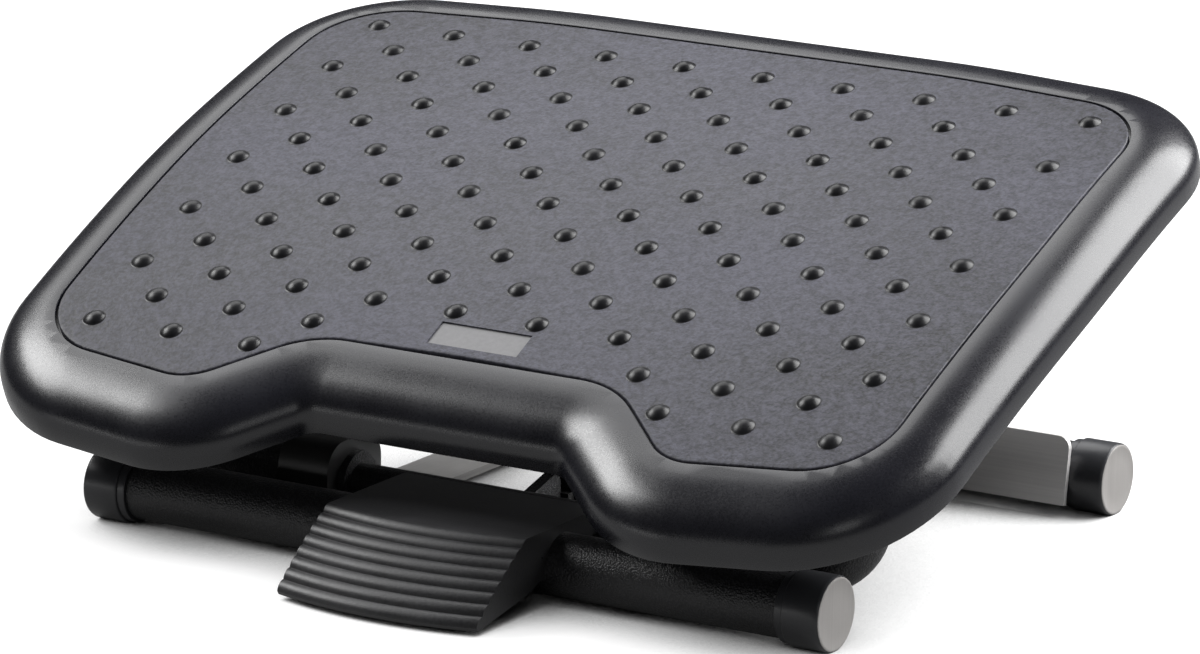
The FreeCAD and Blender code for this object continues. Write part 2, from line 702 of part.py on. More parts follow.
def pedal():
    """Moulded foot pedal: ribbed tread, smooth top, side walls, lugs over the front tube and a fork."""
    thick = size("pedal_thickness")
    wall = size("pedal_wall")
    half = size("pedal_width") / 2
    top = size("pedal_top_height")
    rear = Vector(0, size("pedal_rear_depth"), top)
    middle = Vector(0, 0, top)
    crest = Vector(0, -size("pedal_top_front"), top)
    tip = Vector(0, -size("pedal_tip_depth"), size("pedal_tip_height") + thick / 2)
    tip_low = tip + Vector(0, OVER, -thick / 2)
    heel = Vector(0, -size("pedal_foot_depth"), size("pedal_foot_height"))
    down = Vector(0, 0, -thick)
    tread_mid = bulged(crest, tip, size("pedal_bulge"))
    tread = tread_ribs(crest, tread_mid, tip)
    underside = [line(tip, tip_low), arc_through(tip_low, tread_mid + down, crest + down),
                 line(crest + down, middle + down), line(middle + down, middle), line(middle, crest)]
    body = bowed(tread + underside, half, size("pedal_bow"))
    plate = Part.makeBox(2 * half, rear.y - crest.y, thick, Vector(-half, crest.y, top - thick))
    in_hub = Vector(0, size("pedal_hub_wall") - TUBE_R, AXIS_Z)
    cheek_edges = [arc_through(crest, tread_mid, tip), line(tip, tip_low), line(tip_low, heel),
                   line(heel, in_hub), line(in_hub, crest)]
    cheeks = [extruded(cheek_edges, x0, wall) for x0 in (-half, half - wall)]
    lug = size("pedal_lug_width")
    hub_r = TUBE_R + size("pin_running_gap") + size("pedal_hub_wall")
    below = Part.makeBox(2 * half, 2 * hub_r, 2 * hub_r,
                         Vector(-half, -hub_r, size("pedal_hub_end") - 2 * hub_r))
    hubs = [rod_x(x0, x0 + lug, 0, AXIS_Z, hub_r).cut(below) for x0 in (-half, half - lug)]
    web_low = AXIS_Z + TUBE_R / 2
    webs = [Part.makeBox(wall, rear.y - crest.y, top - web_low - OVER, Vector(x0, crest.y, web_low))
            for x0 in (-half, -wall / 2, half - wall)]
    prong = size("lug_prong")
    gap = size("rod_diameter") / 2 + size("rod_side_gap")
    lug_y = size("lug_depth") - size("lug_thickness") / 2
    lug_x = size("rod_offset") - size("pedal_offset")
    prongs = [Part.makeBox(prong, size("lug_thickness"), top - wall / 2 - size("lug_foot_height"),
                           Vector(x0, lug_y, size("lug_foot_height")))
              for x0 in (lug_x + gap, lug_x - gap - prong)]
    body = body.fuse([plate] + hubs + cheeks + webs + prongs)
    body = body.cut(rod_x(-half, half, 0, AXIS_Z, TUBE_R + size("pin_running_gap")))
    room_r = TUBE_R + size("ring_wall") + size("side_gap")
    room = size("ring_width") + 2 * size("side_gap")
    for x0 in (lug - half, half - lug - room):
        body = body.cut(rod_x(x0, x0 + room, 0, AXIS_Z, room_r))
    head_room = prong + gap + size("rod_side_gap")
    head_front = TUBE_R - OVER
    body = body.cut(Part.makeBox(2 * head_room, lug_y - head_front, AXIS_Z,
                                 Vector(lug_x - head_room, head_front, size("cap_flat_depth"))))
    body.translate(Vector(size("pedal_offset"), 0, 0))
    return feature("pedal", body.removeSplitter())


def pedal_ring(label, side):
    """Retaining ring on the front tube beside a lug of the pedal, inside its width."""
    reach = size("pedal_width") / 2 - size("pedal_lug_width") - size("side_gap")
    x0 = size("pedal_offset") + side * reach
    start = x0 if side < 0 else x0 - size("ring_width")
    outer = cylinder(label + "_outer", "tube_diameter / 2 + ring_wall", "ring_width",
                     along_x(start, 0, AXIS_Z))
    bore = cylinder(label + "_bore", "tube_diameter / 2 + hole_gap", "ring_width",
                    along_x(start, 0, AXIS_Z))
    return keep(cut(label, outer, bore), label)


def crown(inset):
    """Large cylinder whose top is the platform's crowned surface, lowered by an inset."""
    r = size("crown_radius") - inset
    solid = Part.makeCylinder(r, 2 * FAR)
    solid.Placement = Placement(Vector(-FAR, 0, -size("crown_radius")), ALONG_X)
    return solid


def crown_height(y, inset=0.0):
    """Height of the crowned surface at a distance up the slope."""
    r = size("crown_radius") - inset
    return math.sqrt(r * r - y * y) - size("crown_radius")


def platform_outline(side, rear, front):
    """Outline of the platform's pad, grown by a margin on the sides, the rear and the front."""
    points = [
        Vector(0, size("pad_rear"), 0),
        Vector(size("pad_half_width") / 2, (3 * size("pad_rear") + size("pad_rear_corner")) / 4, 0),
        Vector(size("pad_half_width_rear"), size("pad_rear_corner"), 0),
        Vector(size("pad_half_width"), size("pad_widest"), 0),
        Vector(size("pad_half_width_front"), -size("pad_front_corner"), 0),
        Vector(size("lobe_inner_x"), -size("pad_front"), 0),
        Vector(size("notch_half_width"), -size("notch_front"), 0),
        Vector(0, -size("notch_front"), 0),
    ]
    grow = [rear, rear, side, side, front, front, front]
    radii = [
        size("rear_edge_radius") + rear,
        size("pad_rear_radius") + (rear + side) / 2,
        size("side_edge_radius") + side,
        size("pad_front_radius") + (side + front) / 2,
        size("lobe_radius") + front,
        size("notch_radius") - front,
    ]
    lines = []
    for a, b, d in zip(points, points[1:], grow):
        run = (b - a).normalize()
        out = Vector(-run.y, run.x, 0)
        lines.append((a + out * d, run))
    corners = []
    for (p, u), (q, v) in zip(lines, lines[1:]):
        w = q - p
        along = (w.x * v.y - w.y * v.x) / (u.x * v.y - u.y * v.x)
        corners.append(p + u * along)
    mirrored = [Vector(-c.x, c.y, 0) for c in reversed(corners)]
    return rounded_wire(corners + mirrored, radii + list(reversed(radii)))


def rounded_wire(corners, radii):
    """Closed flat wire through corner points, each rounded by an arc of its radius."""
    stops = []
    for i, (corner, radius) in enumerate(zip(corners, radii)):
        to_last = (corners[i - 1] - corner).normalize()
        to_next = (corners[(i + 1) % len(corners)] - corner).normalize()
        half_angle = to_last.getAngle(to_next) / 2
        reach = radius / math.tan(half_angle)
        bisector = (to_last + to_next).normalize()
        centre = corner + bisector * (radius / math.sin(half_angle))
        stops.append((corner + to_last * reach, centre - bisector * radius, corner + to_next * reach))
    edges = []
    for i, (start, mid, end) in enumerate(stops):
        edges.append(arc_through(start, mid, end))
        edges.append(line(end, stops[(i + 1) % len(stops)][0]))
    return Part.Wire(edges)


def prism(wire):
    """Upright solid with a flat outline, well past the platform's top and bottom."""
    face = Part.Face(wire)
    face.translate(Vector(0, 0, -FAR))
    return face.extrude(Vector(0, 0, 2 * FAR))


def top_edges(shape, inset):
    """Edges that bound the crowned top face."""
    found = []
    for edge in shape.Edges:
        ends = [v.Point for v in edge.Vertexes]
        if len(ends) > 1 and all(abs(p.z - crown_height(p.y, inset)) < NEAR for p in ends):
            found.append(edge)
    return found


def platform_shell():
    """Moulded tray: rounded rim, deck under the pad, skirt and ribs below."""
    body = prism(platform_outline(size("rim_side"), size("rim_rear"), size("rim_front")))
    body = body.common(crown(0)).cut(crown(size("shell_depth")))
    body = body.makeFillet(size("rim_round"), top_edges(body, 0))
    wall = size("shell_wall")
    under = size("pad_thickness") + size("deck_thickness")
    inner = prism(platform_outline(size("rim_side") - wall, size("rim_rear") - wall,
                                   size("rim_front") - wall))
    cavity = inner.common(crown(under))
    inner_round = size("rim_round") - 2 * wall
    cavity = cavity.makeFillet(inner_round, top_edges(cavity, under))
    half_gap = size("pad_gap") / 2
    recess = prism(platform_outline(half_gap, half_gap, half_gap)).cut(crown(size("pad_thickness")))
    body = body.cut(cavity).cut(recess)
    return body.fuse(deck_ribs(cavity, under)).removeSplitter().cut(bracket_screws(size("hole_gap")))


def deck_ribs(cavity, under):
    """Stiffening ribs under the deck, kept inside the tray."""
    t = size("rib_thickness")
    pitch = size("rib_spacing")
    bars = [Part.makeBox(t, 2 * FAR, FAR, Vector(n * pitch - t / 2, -FAR, -FAR)) for n in (-2, -1, 1, 2)]
    bars += [Part.makeBox(2 * FAR, t, FAR, Vector(-FAR, n * pitch - t / 2, -FAR)) for n in (-1, 1)]
    grid = bars[0].fuse(bars[1:])
    return grid.common(cavity).cut(crown(under + size("rib_height")))


def bump_places():
    """Places of the raised domes: two square grids, one set half a pitch into the other."""
    pitch = size("bump_pitch")
    for r in range(LATTICE_ROWS):
        v = 3 - r / 2
        count = 9 if r % 2 else 10
        for k in range(count):
            u = k - (count - 1) / 2
            bare_corner = r == 1 and u == 4
            beside_notch = r >= LATTICE_ROWS - 2 and abs(u) < 2
            if not bare_corner and not beside_notch:
                yield u * pitch, v * pitch


def platform_pad():
    """Textured top pad with its domes and the recess of the blank label plate."""
    half_gap = -size("pad_gap") / 2
    body = prism(platform_outline(half_gap, half_gap, half_gap))
    body = body.common(crown(0)).cut(crown(size("pad_thickness")))
    r = size("crown_radius")
    half = size("bump_diameter") / 2
    dome_r = (half * half + size("bump_height") ** 2) / (2 * size("bump_height"))
    sink = dome_r - size("bump_height")
    domes = []
    for x, v in bump_places():
        turn = v / r
        centre = Vector(x, (r - sink) * math.sin(turn), (r - sink) * math.cos(turn) - r)
        domes.append(Part.makeSphere(dome_r, centre).common(
            Part.makeCylinder(half + OVER, dome_r, centre + Vector(0, 0, sink - OVER))))
    body = body.fuse(domes)
    gap = size("seat_gap")
    return body.cut(label_blank(gap, 0, size("label_recess") + size("label_thickness")))


def label_blank(grow, top, bottom):
    """Block of the label plate between two insets below the crowned surface."""
    w = size("label_width") / 2 + grow
    d = size("label_depth") / 2 + grow
    y = -size("label_front")
    block = Part.makeBox(2 * w, 2 * d, 2 * FAR, Vector(-w, y - d, -FAR))
    shape = block.cut(crown(bottom))
    return shape.common(crown(top)) if top else shape


def hinge_bracket_parts():
    """Distances across a hinge bracket, from the arm's middle plane."""
    ear_in = size("sleeve_length") / 2 + size("washer_thickness") + size("side_gap")
    ear_out = ear_in + size("ear_thickness")
    return ear_in, ear_out, ear_out + size("ear_flange")


def bracket_top():
    """Height of the bracket plate's upper face, which touches the deck along its two long edges."""
    under = size("pad_thickness") + size("deck_thickness")
    return crown_height(size("bracket_depth") / 2, under)


def bracket_screw_places(side):
    ear_out = hinge_bracket_parts()[1]
    for x in (-ear_out - size("ear_flange") / 2, ear_out + size("ear_flange") / 2):
        for y in (-size("bracket_depth") / 4, size("bracket_depth") / 4):
            yield side * ARM_X + x, y


def hinge_bracket(side):
    """Steel bracket under the deck with two ears for the hinge pin."""
    ear_in, ear_out, edge = hinge_bracket_parts()
    x = side * ARM_X
    t = size("ear_thickness")
    top = bracket_top()
    w = size("ear_width") / 2
    axis_z = -size("hinge_depth")
    depth = size("bracket_depth")
    shape = Part.makeBox(2 * edge, depth, t, Vector(x - edge, -depth / 2, top - t))
    for x0 in (x - ear_out, x + ear_in):
        ear = Part.makeBox(t, 2 * w, top - axis_z, Vector(x0, -w, axis_z))
        shape = shape.fuse(ear).fuse(rod_x(x0, x0 + t, 0, axis_z, w))
    hole_r = size("hinge_pin_diameter") / 2 + size("hole_gap")
    shape = shape.cut(rod_x(x - edge, x + edge, 0, axis_z, hole_r))
    return shape.cut(bracket_screws(size("hole_gap"))).removeSplitter()


def bracket_screws(grow=0.0):
    """Screws that hold the hinge brackets to the deck."""
    places = [Placement(Vector(x, y, bracket_top() - size("ear_thickness")), Rotation(Vector(1, 0, 0), 180))
              for side in SIDES.values() for x, y in bracket_screw_places(side)]
    return fasteners(places, "screw", size("screw_length"), grow)


def hinge_pin(side):
    """Pin through both ears with a head outside and a groove for its clip inside."""
    _, ear_out, _ = hinge_bracket_parts()
    x = side * ARM_X
    z = -size("hinge_depth")
    r = size("hinge_pin_diameter") / 2
    outside = x + side * ear_out
    inside = x - side * (ear_out + size("clip_width") + size("pin_end"))
    pin = rod_x(inside, outside, 0, z, r)
    head = rod_x(outside, outside + side * size("pin_head_height"), 0, z, size("pin_head_diameter") / 2)
    clip_in = x - side * ear_out
    clip_out = clip_in - side * size("clip_width")
    core = rod_x(clip_in, clip_out, 0, z, r - size("groove_depth"))
    groove = rod_x(clip_in, clip_out, 0, z, r + OVER).cut(core)
    return pin.fuse(head).cut(groove).removeSplitter()


def pin_clip(side):
    """Open retaining clip in the hinge pin's groove."""
    _, ear_out, _ = hinge_bracket_parts()
    z = -size("hinge_depth")
    r = size("hinge_pin_diameter") / 2
    start = side * (ARM_X - ear_out)
    end = start - side * size("clip_width")
    bore_r = r - size("groove_depth") + size("hole_gap")
    ring = rod_x(start, end, 0, z, r + size("clip_rim")).cut(rod_x(start, end, 0, z, bore_r))
    mouth_x = min(start, end) - OVER
    mouth = Part.makeBox(size("clip_width") + 2 * OVER, size("clip_mouth"), 2 * r,
                         Vector(mouth_x, -size("clip_mouth") / 2, z - 2 * r))
    return ring.cut(mouth)


def hinge_washers(side):
    """Two friction washers between the arm's sleeve and the bracket's ears."""
    ear_in = hinge_bracket_parts()[0]
    z = -size("hinge_depth")
    hole_r = size("hinge_pin_diameter") / 2 + size("hole_gap")
    rings = []
    for way in (-1, 1):
        x = side * ARM_X + way * ear_in
        ring = rod_x(x, x - way * size("washer_thickness"), 0, z, size("washer_diameter") / 2)
        hole = rod_x(x - size("washer_thickness"), x + size("washer_thickness"), 0, z, hole_r)
        rings.append(ring.cut(hole))
    return rings


# The base
base_tube("front_tube", 0)
base_tube("rear_tube", size("base_depth"))
for name, side in SIDES.items():
    end_cap("front_cap_" + name, side, 0, "cap_length_front")
    end_cap("rear_cap_" + name, side, size("base_depth"), "cap_length_rear")
    end_disc("front_disc_" + name, side, 0)
    end_disc("rear_disc_" + name, side, size("base_depth"))
    rail("rail_" + name, side)
    pivot_block("pivot_block_" + name, side)
    lift_bush("lift_bush_" + name, side)
    pedal_ring("pedal_ring_" + name, side)
rear_plate()
feature("rear_plate_screws", rear_plate_screws())
feature("pivot_block_bolts", block_bolts())
brace_plate()
lever_bracket()
lever_pin()

# The lift frame
cross_shaft()
for name, side in SIDES.items():
    lift_arm("lift_arm_" + name, side)
    arm_sleeve("arm_sleeve_" + name, side)
brake_sector()

# The brake and the pedal
brake_lever()
feature("brake_shoe", brake_shoe())
release_rod()
pedal()

# The platform
feature("platform_shell", platform_shell(), PLATFORM)
feature("platform_pad", platform_pad(), PLATFORM)
label_low = size("label_recess") + size("label_thickness")
feature("label_plate", label_blank(0, size("label_recess"), label_low), PLATFORM)
for name, side in SIDES.items():
    feature("hinge_bracket_" + name, hinge_bracket(side), PLATFORM)
    feature("hinge_pin_" + name, hinge_pin(side), PLATFORM)
    feature("pin_clip_" + name, pin_clip(side), PLATFORM)
    feature("hinge_washers_" + name, Part.makeCompound(hinge_washers(side)), PLATFORM)
feature("bracket_screws", bracket_screws(), PLATFORM)

doc.recompute()
for obj in doc.Objects:
    if "Invalid" in obj.State or "Error" in obj.State:
        raise RuntimeError("%s failed: %s" % (obj.Label, obj.State))
for obj in parts:
    if obj.Shape.isNull() or not obj.Shape.isValid():
        raise RuntimeError("%s has no valid shape" % obj.Label)

# The origin is on the floor, under the middle of everything
extent = FreeCAD.BoundBox()
for obj in parts:
    extent.add(obj.Shape.optimalBoundingBox(True, False))
middle = Placement(Vector(0, -extent.Center.y, -extent.ZMin), Rotation())
os.makedirs("parts", exist_ok=True)
for obj in parts:
    shape = obj.Shape.copy()
    shape.Placement = middle.multiply(shape.Placement)
    shape.exportStep("parts/%s.step" % obj.Label)
print("origin moved by y %.3f, z %.3f" % (-middle.Base.y, -middle.Base.z))
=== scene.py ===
"""Looks of a tilting under desk footrest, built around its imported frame."""
import json
import math

import bmesh
import bpy
from mathutils import Matrix, Vector


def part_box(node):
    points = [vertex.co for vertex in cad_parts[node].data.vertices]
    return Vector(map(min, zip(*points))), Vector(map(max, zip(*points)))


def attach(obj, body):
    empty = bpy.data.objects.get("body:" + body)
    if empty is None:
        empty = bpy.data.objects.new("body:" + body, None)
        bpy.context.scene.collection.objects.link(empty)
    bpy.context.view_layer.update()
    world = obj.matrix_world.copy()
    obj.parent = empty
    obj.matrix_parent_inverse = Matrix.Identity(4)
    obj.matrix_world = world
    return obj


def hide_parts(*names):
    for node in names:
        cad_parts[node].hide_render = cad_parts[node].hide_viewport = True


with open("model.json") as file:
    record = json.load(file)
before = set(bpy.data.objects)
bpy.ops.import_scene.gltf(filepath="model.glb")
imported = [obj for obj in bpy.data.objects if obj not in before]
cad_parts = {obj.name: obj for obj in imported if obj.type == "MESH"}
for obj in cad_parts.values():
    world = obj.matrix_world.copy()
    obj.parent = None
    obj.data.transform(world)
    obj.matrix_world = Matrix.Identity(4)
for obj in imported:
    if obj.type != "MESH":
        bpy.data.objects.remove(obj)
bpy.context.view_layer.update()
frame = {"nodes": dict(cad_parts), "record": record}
NODES = frame["nodes"]
MM = 0.001

# Axis of the front tube, from which everything else is placed (metres)
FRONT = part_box("front_tube")
AXIS_Y = (FRONT[0][1] + FRONT[1][1]) / 2
AXIS_Z = (FRONT[0][2] + FRONT[1][2]) / 2


# ---------- materials ----------

# Ranges of a noise value that are stretched over a whole range of colour or gloss
WIDE = (0.3, 0.7)
MIDDLE = (0.35, 0.65)
NARROW = (0.38, 0.62)


def material(name):
    """A new material, its node tree and its main shader."""
    mat = bpy.data.materials.new(name)
    mat.use_nodes = True
    tree = mat.node_tree
    return mat, tree, tree.nodes["Principled BSDF"]


def add(tree, kind, **values):
    """A new node with its attributes set."""
    node = tree.nodes.new(kind)
    for key, value in values.items():
        setattr(node, key, value)
    return node


def plug(tree, socket, value):
    """Link another node's output to a socket, or set the socket's own value."""
    if hasattr(value, "links"):
        tree.links.new(value, socket)
    else:
        socket.default_value = value


def position(tree):
    return add(tree, "ShaderNodeTexCoord").outputs["Object"]


def noise(tree, where, scale, detail=2.0, rough=0.5):
    node = add(tree, "ShaderNodeTexNoise")
    node.inputs["Scale"].default_value = scale
    node.inputs["Detail"].default_value = detail
    node.inputs["Roughness"].default_value = rough
    tree.links.new(where, node.inputs["Vector"])
    return node.outputs["Fac"]


def mapped(tree, where, scale, turn=0.0):
    """Coordinates stretched per axis and turned about the vertical."""
    node = add(tree, "ShaderNodeMapping")
    node.inputs["Rotation"].default_value = (0.0, 0.0, turn)
    node.inputs["Scale"].default_value = scale
    tree.links.new(where, node.inputs["Vector"])
    return node.outputs["Vector"]


def span(tree, fac, source, target=(0.0, 1.0)):
    """Stretch a value from one range to another, clamped."""
    node = add(tree, "ShaderNodeMapRange")
    for key, value in zip(("From Min", "From Max", "To Min", "To Max"), (*source, *target)):
        node.inputs[key].default_value = value
    tree.links.new(fac, node.inputs["Value"])
    return node.outputs["Result"]


def mixed(tree, fac, dark, light):
    """A colour between two others."""
    node = add(tree, "ShaderNodeMix", data_type="RGBA")
    tree.links.new(fac, node.inputs["Factor"])
    colours = [socket for socket in node.inputs if socket.type == "RGBA"]
    for socket, value in zip(colours, (dark, light)):
        plug(tree, socket, value if hasattr(value, "links") else (*value, 1.0))
    return next(socket for socket in node.outputs if socket.type == "RGBA")


def total(tree, a, b, operation="ADD"):
    """Two values joined by an operation, their sum unless another is named."""
    node = add(tree, "ShaderNodeMath", operation=operation)
    plug(tree, node.inputs[0], a)
    plug(tree, node.inputs[1], b)
    return node.outputs[0]


def squared(tree, value):
    return total(tree, value, value, "MULTIPLY")


def bumped(tree, shader, height, strength, depth):
    node = add(tree, "ShaderNodeBump")
    node.inputs["Strength"].default_value = strength
    node.inputs["Distance"].default_value = depth
    tree.links.new(height, node.inputs["Height"])
    tree.links.new(node.outputs["Normal"], shader.inputs["Normal"])


def moulded(name, dark, light, rough, grain_size, grain_depth, specular=0.5):
    """Moulded plastic: fine grain in its height and gloss, soft patches in its colour."""
    patch_scale, patch_share, grain_gloss = 28.0, 0.6, 0.04
    mat, tree, shader = material(name)
    where = position(tree)
    grain = noise(tree, where, 1.0 / grain_size, 3.0, 0.6)
    patches = noise(tree, where, patch_scale, 4.0, 0.55)
    blend = total(tree, span(tree, patches, WIDE, (0.0, patch_share)),
                  span(tree, grain, MIDDLE, (0.0, 1.0 - patch_share)))
    tree.links.new(mixed(tree, blend, dark, light), shader.inputs["Base Color"])
    gloss = total(tree, span(tree, patches, WIDE, rough),
                  span(tree, grain, WIDE, (-grain_gloss, grain_gloss)))
    tree.links.new(gloss, shader.inputs["Roughness"])
    shader.inputs["Specular IOR Level"].default_value = specular
    bumped(tree, shader, grain, 0.6, grain_depth)
    return mat


def powder_coat(name, dark, light, rough, size, depth):
    """Granular powder coat: rounded grains of a fraction of a millimetre."""
    cell_edge, fine_ratio, tones = 0.75, 1.6, (0.6, 1.4)
    mat, tree, shader = material(name)
    where = position(tree)
    cells = add(tree, "ShaderNodeTexVoronoi")
    cells.inputs["Scale"].default_value = 1.0 / size
    tree.links.new(where, cells.inputs["Vector"])
    grains = span(tree, cells.outputs["Distance"], (0.0, cell_edge), (1.0, 0.0))
    fine = noise(tree, where, fine_ratio / size)
    height = total(tree, grains, fine)
    tree.links.new(mixed(tree, span(tree, height, tones), dark, light), shader.inputs["Base Color"])
    tree.links.new(span(tree, fine, WIDE, rough), shader.inputs["Roughness"])
    bumped(tree, shader, height, 0.8, depth)
    return mat


def brushed(name, dark, light, rough, direction, metallic=1.0):
    """Metal with fine brush lines along one axis."""
    along, across, line_share, line_depth = 8.0, 900.0, 0.6, 0.00005
    mat, tree, shader = material(name)
    where = position(tree)
    lines = noise(tree, mapped(tree, where, [along if i == direction else across for i in range(3)]),
                  1.0, 3.0, 0.6)
    cloud = noise(tree, where, 40.0, 3.0)
    blend = total(tree, span(tree, lines, WIDE, (0.0, line_share)),
                  span(tree, cloud, WIDE, (0.0, 1.0 - line_share)))
    tree.links.new(mixed(tree, blend, dark, light), shader.inputs["Base Color"])
    tree.links.new(span(tree, lines, WIDE, rough), shader.inputs["Roughness"])
    shader.inputs["Metallic"].default_value = metallic
    bumped(tree, shader, lines, 0.15, line_depth)
    return mat


def textured(name, dark, light, rough, specular):
    """Pad plastic: a millimetre grain under cloudy streaks, paler towards the middle of the pad."""
    streak_scale, streak_turn = (6.0, 14.0, 10.0), 0.5
    middle_y, paler_x, paler_y, paler_edge, paler_gain = AXIS_Y + 0.1, 0.2, 0.14, (0.2, 1.3), 0.25
    mat, tree, shader = material(name)
    where = position(tree)
    grain = noise(tree, where, 650.0, 2.0, 0.6)
    coarse = noise(tree, where, 260.0, 3.0, 0.6)
    clouds = noise(tree, mapped(tree, where, streak_scale, streak_turn), 1.0, 5.0, 0.6)
    speckle = total(tree, span(tree, grain, MIDDLE, (0.0, 0.6)), span(tree, coarse, MIDDLE, (0.0, 0.4)))
    # Tone raised in an oval over the middle of the pad, fading towards its edges
    axes = add(tree, "ShaderNodeSeparateXYZ")
    tree.links.new(where, axes.inputs[0])
    across = total(tree, axes.outputs["X"], paler_x, "DIVIDE")
    along = total(tree, total(tree, axes.outputs["Y"], middle_y, "SUBTRACT"), paler_y, "DIVIDE")
    away = total(tree, squared(tree, across), squared(tree, along))
    paler_middle = span(tree, away, paler_edge, (paler_gain, 0.0))
    tone = total(tree, span(tree, speckle, (0.1, 0.9), (0.0, 0.7)), span(tree, clouds, NARROW, (-0.08, 0.22)))
    tone = total(tree, tone, paler_middle)
    tree.links.new(mixed(tree, tone, dark, light), shader.inputs["Base Color"])
    gloss = total(tree, span(tree, clouds, MIDDLE, rough), span(tree, grain, WIDE, (-0.06, 0.06)))
    tree.links.new(gloss, shader.inputs["Roughness"])
    shader.inputs["Specular IOR Level"].default_value = specular
    bumped(tree, shader, total(tree, grain, coarse), 0.8, 0.0003)
    return mat


MATERIALS = {
    "black_powder_coat": powder_coat(
        "powder_coat_black", dark=(0.006, 0.006, 0.007), light=(0.03, 0.03, 0.033),
        rough=(0.32, 0.5), size=0.0009, depth=0.00022),
    "cap_plastic": moulded(
        "cap_plastic_grey", dark=(0.03, 0.031, 0.035), light=(0.045, 0.046, 0.051),
        rough=(0.3, 0.38), grain_size=0.0006, grain_depth=0.00002),
    "silver_disc": brushed(
        "disc_silver", dark=(0.33, 0.315, 0.305), light=(0.42, 0.405, 0.395),
        rough=(0.4, 0.5), direction=2, metallic=0.3),
    "satin_steel_plate": brushed(
        "steel_satin", dark=(0.72, 0.705, 0.7), light=(0.86, 0.845, 0.835),
        rough=(0.42, 0.52), direction=0, metallic=0.6),
    "shell_plastic": moulded(
        "shell_plastic_black", dark=(0.006, 0.006, 0.009), light=(0.01, 0.0103, 0.0155),
        rough=(0.25, 0.31), grain_size=0.0008, grain_depth=0.00002, specular=0.55),
    "pad_plastic": textured(
        "pad_plastic_grey", dark=(0.002, 0.002, 0.004), light=(0.072, 0.072, 0.094),
        rough=(0.46, 0.6), specular=0.4),
    "label_grey": moulded(
        "label_plate_grey", dark=(0.12, 0.119, 0.124), light=(0.17, 0.169, 0.175),
        rough=(0.32, 0.4), grain_size=0.002, grain_depth=0.00001),
    "pedal_plastic": moulded(
        "pedal_plastic_black", dark=(0.01, 0.01, 0.011), light=(0.04, 0.04, 0.043),
        rough=(0.4, 0.5), grain_size=0.0011, grain_depth=0.00012),
    "nylon_black": moulded(
        "nylon_black", dark=(0.012, 0.012, 0.012), light=(0.022, 0.022, 0.022),
        rough=(0.4, 0.5), grain_size=0.001, grain_depth=0.00002),
    "brake_rubber": moulded(
        "rubber_black", dark=(0.01, 0.01, 0.01), light=(0.02, 0.02, 0.02),
        rough=(0.7, 0.85), grain_size=0.001, grain_depth=0.00003),
    "zinc_steel": brushed(
        "zinc_plated", dark=(0.42, 0.43, 0.45), light=(0.55, 0.555, 0.56),
        rough=(0.3, 0.45), direction=1),
}
RAIL_STEEL = brushed(
    "rail_steel", dark=(0.27, 0.265, 0.262), light=(0.4, 0.392, 0.385),
    rough=(0.36, 0.46), direction=1, metallic=0.8)
# A darker copy of the pad's plastic for the domes: painted shade on the domes
DOME_SHADED_PLASTIC = moulded(
    "pad_dome_plastic_painted_shade", dark=(0.004, 0.004, 0.005), light=(0.01, 0.01, 0.012),
    rough=(0.3, 0.38), grain_size=0.0009, grain_depth=0.00002, specular=0.3)

for entry in frame["record"]["subparts"]:
    node = NODES[entry["node"]]
    node.data.materials.clear()
    node.data.materials.append(MATERIALS[entry["material_slot"]])
for name in ("rail_left", "rail_right"):
    NODES[name].data.materials[0] = RAIL_STEEL


# ---------- shapes (lengths in millimetres until a mesh is made) ----------

# Platform frame: the middle of its crowned top, tilted with the platform
PLATFORM_TILT = math.radians(22.5)
PLATFORM = (Matrix.Translation((0, AXIS_Y + 0.095796, AXIS_Z + 0.119112))
            @ Matrix.Rotation(PLATFORM_TILT, 4, "X"))
CROWN = 1225.0
SLICE = 6.0

# Half of the pad's outline, from the middle of its rear edge round to the notch
PAD_POINTS = ((0, 139.0), (98.75, 136.25), (194.8, 128.0), (197.5, 10.0), (194.0, -129.0),
              (110.8, -139.4), (70.7, -103.0), (0, -103.0))

# Shell: width of the rim round the pad, its drop and roundness, then the skirt and the tray inside
RIM_SIDE, RIM_REAR, RIM_FRONT = 25.3, 27.7, 31.3
RIM_DROP, RIM_POWER, RIM_STEPS, RIM_FIRST_STEP = 16.4, 2.15, 26, 3
SKIRT, WALL = 21.5, 3.0
PAD, DECK = 3.0, 6.5
TRAY_RADIUS, TRAY_STEPS = 14.0, 6

# Ribs under the deck
RIB_HALF, RIB_DEPTH, RIB_SINK, RIB_SEGMENT = 1.2, 12.0, 0.4, 8
RIB_INNER, RIB_OUTER = 60, 120

# Domes, in staggered rows of nine and ten, and the label's recess
PITCH = 38.1
DOME_RADIUS, DOME_HEIGHT, DOME_AROUND = 4.75, 2.0, 28
DOME_FOOT = ((5.15, -0.02), (4.95, 0.015), (4.8, 0.06), (4.62, 0.15), (4.45, 0.28))
DOME_RADII = (4.1, 3.6, 3.0, 2.3, 1.5, 0.75)
LABEL_HALF_WIDTH, LABEL_HALF_DEPTH, LABEL_Y, LABEL_RECESS = 21.05, 6.8, -90.0, 1.6

# End caps and their discs: distances along the tube and radii
TUBE_SPACING = 240.0
CAP_INNER, CAP_OUTER, CAP_RADIUS = 152.25, 171.95, 15.3
DISC_INNER, DISC_RADIUS = 170.65, 14.7
LATHE_AROUND = 72


def crown(y):
    """Height of the crowned top below its middle."""
    return math.sqrt(CROWN * CROWN - y * y) - CROWN


def crowned(bm):
    for vert in bm.verts:
        vert.co.z += crown(vert.co.y)


def on_circle(i, around):
    """Cosine and sine of the angle of one of several equal steps round a circle."""
    turn = 2 * math.pi * i / around
    return math.cos(turn), math.sin(turn)


